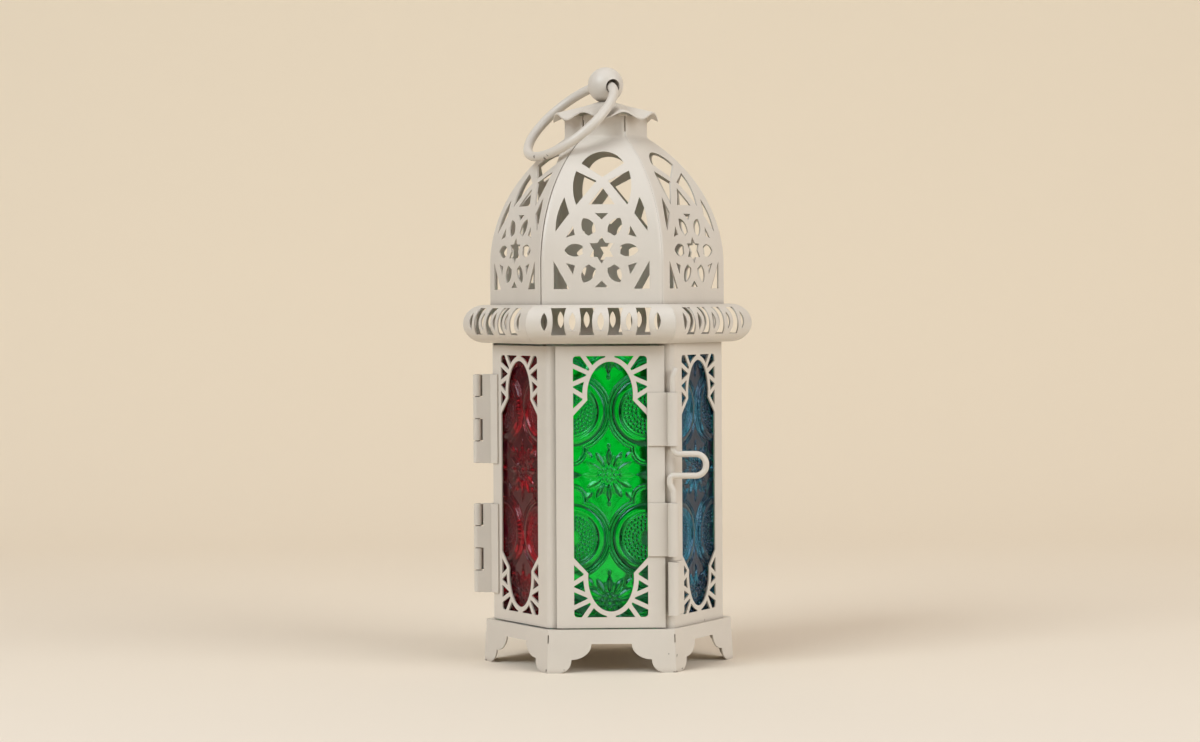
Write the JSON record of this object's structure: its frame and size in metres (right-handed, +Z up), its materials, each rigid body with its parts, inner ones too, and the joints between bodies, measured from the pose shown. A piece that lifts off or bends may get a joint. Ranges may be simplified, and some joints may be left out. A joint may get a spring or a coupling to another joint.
{
  "type": "candle lantern",
  "caption": "Hexagonal candle lantern of white painted sheet steel with coloured figured glass, a pierced dome and rim, a hinged double door with a slide bolt, and a hanging ring.",
  "frame": {"origin": "on the table under the middle of the lantern", "axes": "+Z up, -Y out of the front door face, +X to the right seen from the front"},
  "size_m": [0.107, 0.0966, 0.22],
  "materials": {
    "cream_paint": "satin",
    "red_glass": "gloss",
    "green_glass": "gloss",
    "blue_glass": "gloss"
  },
  "bodies": {
    "frame": {"base": "cream_paint", "candle_cup": "cream_paint", "panel_front_right": "cream_paint", "panel_rear_right": "cream_paint", "panel_rear": "cream_paint", "panel_rear_left": "cream_paint", "glass_front_right": "blue_glass", "glass_rear_right": "red_glass", "glass_rear": "green_glass", "glass_rear_left": "blue_glass", "rim_front": "cream_paint", "rim_front_right": "cream_paint", "rim_rear_right": "cream_paint", "rim_rear": "cream_paint", "rim_rear_left": "cream_paint", "rim_front_left": "cream_paint", "petal_front": "cream_paint", "petal_front_right": "cream_paint", "petal_rear_right": "cream_paint", "petal_rear": "cream_paint", "petal_rear_left": "cream_paint", "petal_front_left": "cream_paint", "cap": "cream_paint", "finial_ball": "cream_paint", "finial_screw": "cream_paint", "hinge_upper_frame_leaf": "cream_paint", "hinge_lower_frame_leaf": "cream_paint", "hinge_upper_pin": "cream_paint", "hinge_lower_pin": "cream_paint", "bolt_keeper": "cream_paint"},
    "door": {"panel_front": "cream_paint", "panel_front_left": "cream_paint", "glass_front": "green_glass", "glass_front_left": "red_glass", "hinge_upper_door_leaf": "cream_paint", "hinge_lower_door_leaf": "cream_paint", "bolt_guide_upper": "cream_paint", "bolt_guide_lower": "cream_paint"},
    "bolt": {"door_bolt": "cream_paint"},
    "ring": {"hanging_ring": "cream_paint"}
  },
  "joints": [
    {"name": "door_swing", "type": "hinge", "parent": "frame", "child": "door", "pos_m": [-0.0483, 0, 0.066], "axis": [0, 0, -1], "range_deg": [0, 170]},
    {"name": "bolt_slide", "type": "slide", "parent": "door", "child": "bolt", "axis": [0, 0, 1], "range_m": [-0.0034, 0]},
    {"name": "ring_swing", "type": "hinge", "parent": "frame", "child": "ring", "pos_m": [0, 0, 0.21306], "axis": [-0.426, 0.8997, 0.0953], "range_deg": [0, 260]}
  ]
}
